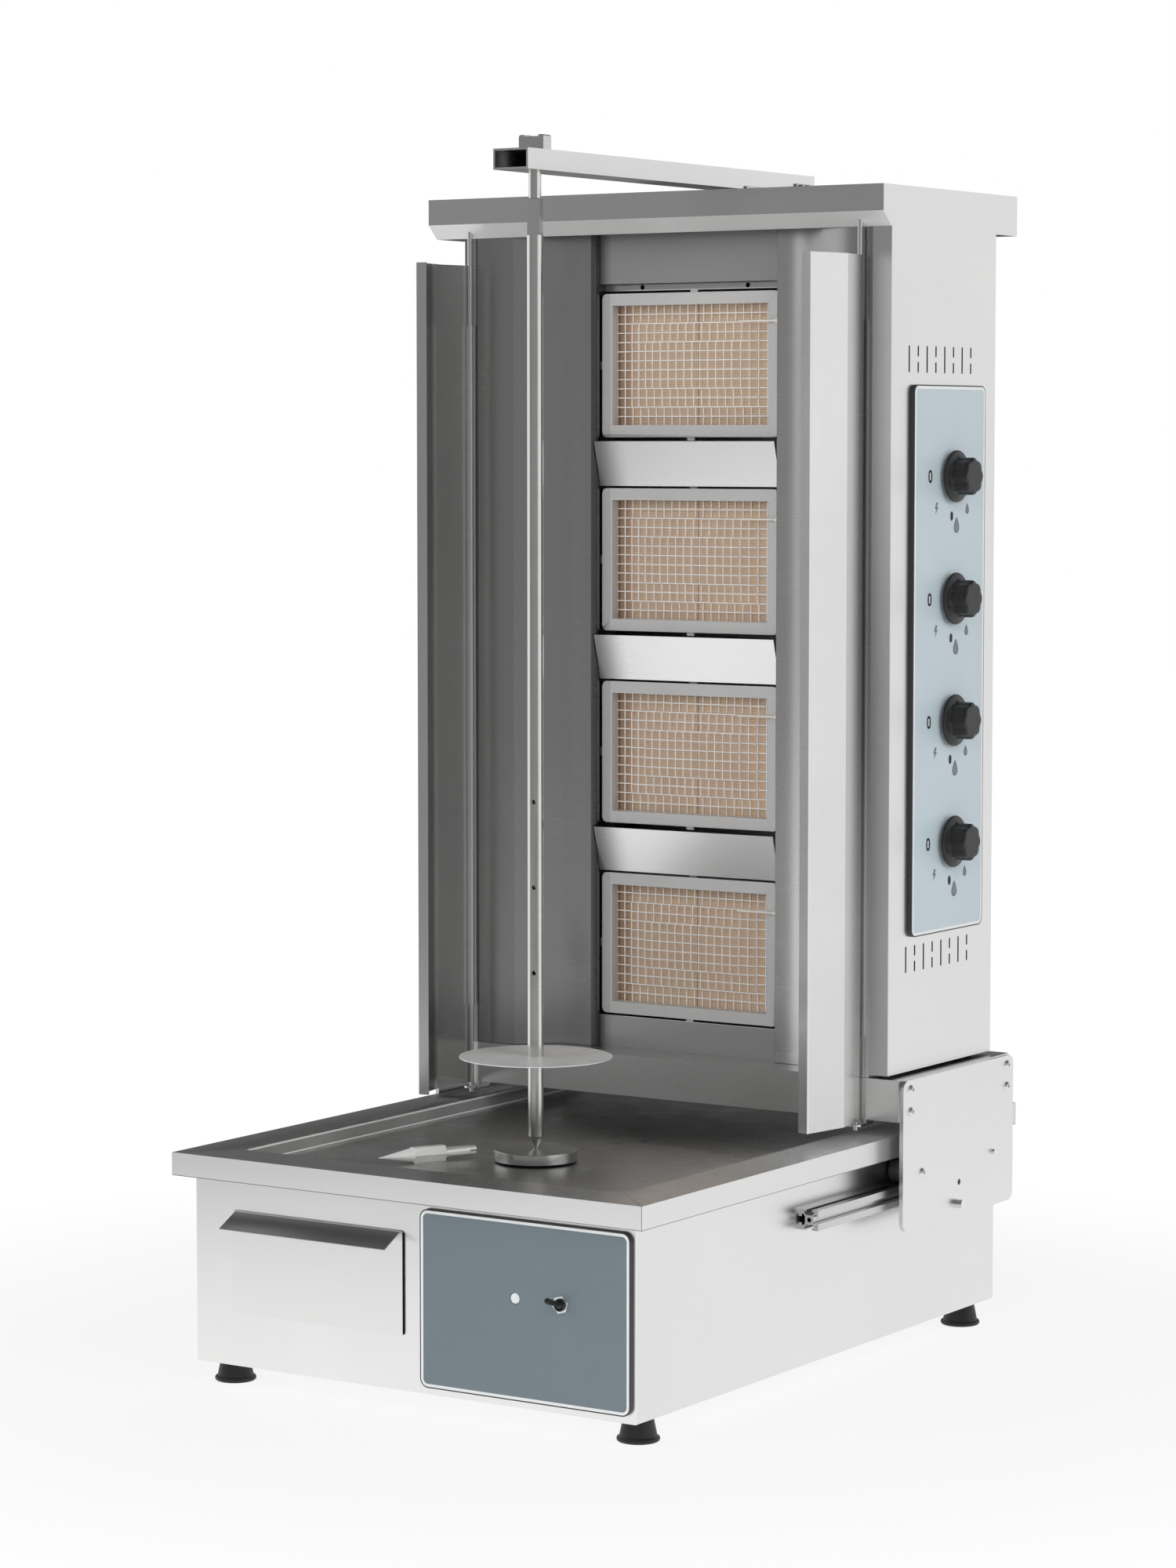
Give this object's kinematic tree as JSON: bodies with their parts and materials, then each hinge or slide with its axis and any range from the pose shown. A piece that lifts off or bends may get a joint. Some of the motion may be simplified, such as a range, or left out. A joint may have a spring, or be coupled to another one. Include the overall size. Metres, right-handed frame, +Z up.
{
  "type": "gas doner kebab grill",
  "caption": "Upright gas doner kebab grill: stainless cabinet with drawer and drip pan, turning spit with disc, and a sliding burner tower with wing doors, hood and top arm.",
  "frame": {"origin": "on the floor plane, under the middle of the overall box", "axes": "+Z up, +X to the right seen from the carving side, +Y away from the carving side towards the burner tower"},
  "size_m": [0.5854, 0.7451, 1.2087],
  "materials": {
    "stainless": "satin, brushed",
    "table_steel": "satin, brushed",
    "inner_steel": "satin, brushed",
    "reflector_steel": "bright satin",
    "door_steel": "bright satin",
    "shaft_steel": "fine turned",
    "mesh_steel": "bright wire",
    "fastener_steel": "satin",
    "profile_aluminium": "anodised",
    "blue_grey_panel": "satin printed panel",
    "black_plastic": "matte",
    "black_switch": "gloss",
    "lamp_lens": "clear, unlit",
    "ceramic_tile": "matte, perforated",
    "electrode_ceramic": "glossy insulator and wire",
    "grey_motor": "satin",
    "cast_bearing": "machined",
    "brass_fittings": "satin",
    "gas_pipe": "plain tube",
    "nylon_roller": "matte"
  },
  "bodies": {
    "base": {"cabinet_shell": "stainless", "cabinet_back": "stainless", "power_gland": "black_plastic", "table_top": "table_steel", "feet": "black_plastic", "slide_rails": "profile_aluminium", "drawer_runners": "inner_steel", "front_panel": "blue_grey_panel", "pilot_lamp": "lamp_lens", "switch_body": "black_switch", "gearmotor": "grey_motor", "spindle_bearing": "cast_bearing", "base_screws": "fastener_steel"},
    "switch_lever": {"switch_lever": "black_switch"},
    "drawer": {"drawer_tray": "inner_steel", "drawer_front": "stainless"},
    "spit": {"drive_shaft": "shaft_steel", "drive_puck": "shaft_steel", "spit_tip": "shaft_steel", "spit_tube": "shaft_steel", "spit_disc": "inner_steel", "spit_socket": "shaft_steel"},
    "tower": {"carriage_frame": "stainless", "carriage_plates": "stainless", "tower_screws": "fastener_steel", "tower_side": "stainless", "control_housing": "stainless", "tower_back": "stainless", "hood": "stainless", "reflectors": "reflector_steel", "knob_panel": "blue_grey_panel", "burner_frames": "stainless", "burner_meshes": "mesh_steel", "burner_tiles": "ceramic_tile", "burner_bodies": "inner_steel", "burner_igniters": "electrode_ceramic", "deflectors": "reflector_steel", "gas_manifold": "gas_pipe", "gas_valves": "brass_fittings", "arm_guides": "inner_steel"},
    "arm": {"arm_tube": "stainless"},
    "top_pin": {"top_pin": "shaft_steel", "top_pin_grip": "stainless"},
    "spare_tip": {"spare_tip": "shaft_steel"},
    "door_left": {"door_left": "door_steel"},
    "door_right": {"door_right": "door_steel"},
    "gas_spindle_1": {"gas_spindle_1": "brass_fittings"},
    "gas_knob_1": {"gas_knob_1": "black_plastic"},
    "gas_spindle_2": {"gas_spindle_2": "brass_fittings"},
    "gas_knob_2": {"gas_knob_2": "black_plastic"},
    "gas_spindle_3": {"gas_spindle_3": "brass_fittings"},
    "gas_knob_3": {"gas_knob_3": "black_plastic"},
    "gas_spindle_4": {"gas_spindle_4": "brass_fittings"},
    "gas_knob_4": {"gas_knob_4": "black_plastic"},
    "roller_left_front": {"roller_left_front": "nylon_roller"},
    "roller_left_rear": {"roller_left_rear": "nylon_roller"},
    "roller_left_lower": {"roller_left_lower": "nylon_roller"},
    "roller_right_front": {"roller_right_front": "nylon_roller"},
    "roller_right_rear": {"roller_right_rear": "nylon_roller"},
    "roller_right_lower": {"roller_right_lower": "nylon_roller"}
  },
  "joints": [
    {"name": "switch_toggle", "type": "hinge", "parent": "base", "child": "switch_lever", "pos_m": [0.16692, -0.34895, 0.1265], "axis": [1, 0, 0], "range_deg": [0, 38]},
    {"name": "drawer_slide", "type": "slide", "parent": "base", "child": "drawer", "axis": [0, -1, 0], "range_m": [0, 0.25]},
    {"name": "spit_turn", "type": "hinge", "parent": "base", "child": "spit", "pos_m": [-0.00118, -0.1382, 0.3], "axis": [0, 0, 1], "continuous": true},
    {"name": "spare_tip_lift", "type": "slide", "parent": "base", "child": "spare_tip", "axis": [0, 0, 1], "range_m": [0, 0.08]},
    {"name": "tower_slide", "type": "slide", "parent": "base", "child": "tower", "axis": [0, -1, 0], "range_m": [0, 0.12]},
    {"name": "arm_slide", "type": "slide", "parent": "tower", "child": "arm", "axis": [0, 1, 0], "range_m": [0, 0.12]},
    {"name": "top_pin_lift", "type": "slide", "parent": "arm", "child": "top_pin", "axis": [0, 0, 1], "range_m": [0, 0.03]},
    {"name": "door_left_hinge", "type": "hinge", "parent": "tower", "child": "door_left", "pos_m": [-0.23267, 0.0853, 0.67], "axis": [0, 0, 1], "range_deg": [-60, 80]},
    {"name": "door_right_hinge", "type": "hinge", "parent": "tower", "child": "door_right", "pos_m": [0.23033, 0.0853, 0.67], "axis": [0, 0, 1], "range_deg": [-80, 60]},
    {"name": "gas_knob_1_turn", "type": "hinge", "parent": "tower", "child": "gas_spindle_1", "pos_m": [0.26232, 0.2095, 0.881], "axis": [1, 0, 0], "range_deg": [0, 135]},
    {"name": "gas_knob_1_push", "type": "slide", "parent": "gas_spindle_1", "child": "gas_knob_1", "axis": [-1, 0, 0], "range_m": [0, 0.003], "stiffness_N_per_m": 800, "springref_m": -0.002},
    {"name": "gas_knob_2_turn", "type": "hinge", "parent": "tower", "child": "gas_spindle_2", "pos_m": [0.26232, 0.2095, 0.759], "axis": [1, 0, 0], "range_deg": [0, 135]},
    {"name": "gas_knob_2_push", "type": "slide", "parent": "gas_spindle_2", "child": "gas_knob_2", "axis": [-1, 0, 0], "range_m": [0, 0.003], "stiffness_N_per_m": 800, "springref_m": -0.002},
    {"name": "gas_knob_3_turn", "type": "hinge", "parent": "tower", "child": "gas_spindle_3", "pos_m": [0.26232, 0.2095, 0.637], "axis": [1, 0, 0], "range_deg": [0, 135]},
    {"name": "gas_knob_3_push", "type": "slide", "parent": "gas_spindle_3", "child": "gas_knob_3", "axis": [-1, 0, 0], "range_m": [0, 0.003], "stiffness_N_per_m": 800, "springref_m": -0.002},
    {"name": "gas_knob_4_turn", "type": "hinge", "parent": "tower", "child": "gas_spindle_4", "pos_m": [0.26232, 0.2095, 0.515], "axis": [1, 0, 0], "range_deg": [0, 135]},
    {"name": "gas_knob_4_push", "type": "slide", "parent": "gas_spindle_4", "child": "gas_knob_4", "axis": [-1, 0, 0], "range_m": [0, 0.003], "stiffness_N_per_m": 800, "springref_m": -0.002},
    {"name": "roller_left_front_roll", "type": "hinge", "parent": "tower", "child": "roller_left_front", "pos_m": [-0.27093, 0.1333, 0.1903], "axis": [1, 0, 0], "range_deg": [-10, 590]},
    {"name": "roller_left_rear_roll", "type": "hinge", "parent": "tower", "child": "roller_left_rear", "pos_m": [-0.27093, 0.2833, 0.1903], "axis": [1, 0, 0], "range_deg": [-10, 590]},
    {"name": "roller_left_lower_roll", "type": "hinge", "parent": "tower", "child": "roller_left_lower", "pos_m": [-0.27093, 0.2073, 0.148], "axis": [1, 0, 0], "range_deg": [-725, 10]},
    {"name": "roller_right_front_roll", "type": "hinge", "parent": "tower", "child": "roller_right_front", "pos_m": [0.25557, 0.1333, 0.1903], "axis": [1, 0, 0], "range_deg": [-10, 590]},
    {"name": "roller_right_rear_roll", "type": "hinge", "parent": "tower", "child": "roller_right_rear", "pos_m": [0.25557, 0.2833, 0.1903], "axis": [1, 0, 0], "range_deg": [-10, 590]},
    {"name": "roller_right_lower_roll", "type": "hinge", "parent": "tower", "child": "roller_right_lower", "pos_m": [0.25557, 0.2073, 0.148], "axis": [1, 0, 0], "range_deg": [-725, 10]}
  ],
  "couplings": [
    {"joint": "arm_slide", "follows": "tower_slide", "ratio": 1},
    {"joint": "roller_left_front_roll", "follows": "tower_slide", "rad_per_m": 83.333},
    {"joint": "roller_left_rear_roll", "follows": "tower_slide", "rad_per_m": 83.333},
    {"joint": "roller_left_lower_roll", "follows": "tower_slide", "rad_per_m": -103.09},
    {"joint": "roller_right_front_roll", "follows": "tower_slide", "rad_per_m": 83.333},
    {"joint": "roller_right_rear_roll", "follows": "tower_slide", "rad_per_m": 83.333},
    {"joint": "roller_right_lower_roll", "follows": "tower_slide", "rad_per_m": -103.09}
  ]
}
